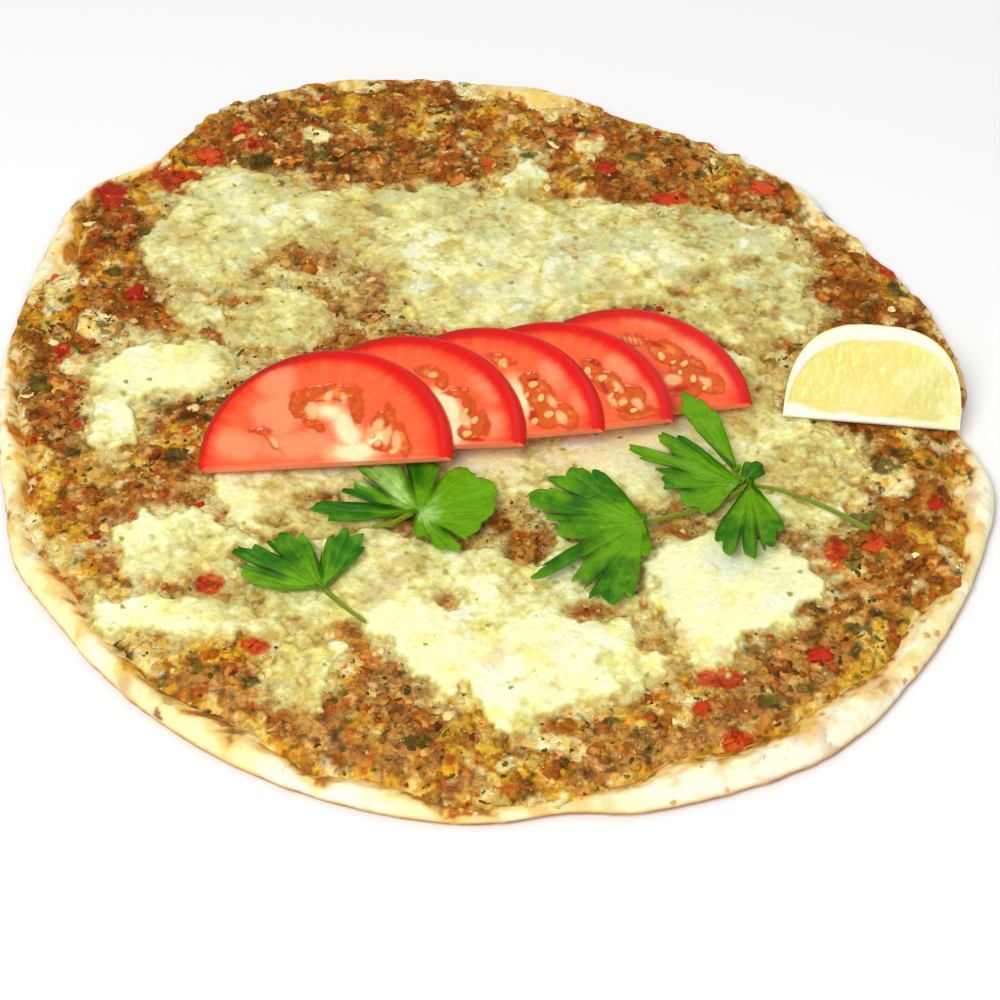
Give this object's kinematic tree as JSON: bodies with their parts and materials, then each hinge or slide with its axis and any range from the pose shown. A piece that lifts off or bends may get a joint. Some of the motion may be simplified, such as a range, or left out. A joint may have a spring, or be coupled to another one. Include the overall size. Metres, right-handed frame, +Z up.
{
  "type": "lahmacun",
  "caption": "Round thin flatbread baked with spiced mince and melted cheese, topped with tomato slices, a lemon wedge and parsley.",
  "frame": {"origin": "middle of the flat underside of the bread, on the surface that it lies on", "axes": "+Z up through the toppings, +Y from the front edge to the back edge, +X to the right seen from the front"},
  "size_m": [0.2949, 0.3074, 0.0285],
  "materials": {
    "bread": "matt baked dough, cream with light golden browning",
    "mince": "moist browned mince with oil, herbs and bits of red pepper",
    "cheese": "melted cheese, cream white, softly glossy",
    "tomato": "wet cut tomato, red skin and salmon flesh",
    "lemon": "wet pale yellow pulp, white pith and yellow peel",
    "parsley": "fresh green leaf with a soft sheen"
  },
  "bodies": {
    "root": {"flatbread": "bread", "mince": "mince", "cheese_back": "cheese", "cheese_scrap": "cheese", "cheese_left": "cheese", "cheese_middle": "cheese", "cheese_front": "cheese", "cheese_right": "cheese", "tomato_slice_1": "tomato", "tomato_slice_2": "tomato", "tomato_slice_3": "tomato", "tomato_slice_4": "tomato", "tomato_slice_5": "tomato", "lemon_wedge": "lemon", "parsley_left": "parsley", "parsley_middle": "parsley", "parsley_sprig": "parsley"}
  },
  "joints": []
}
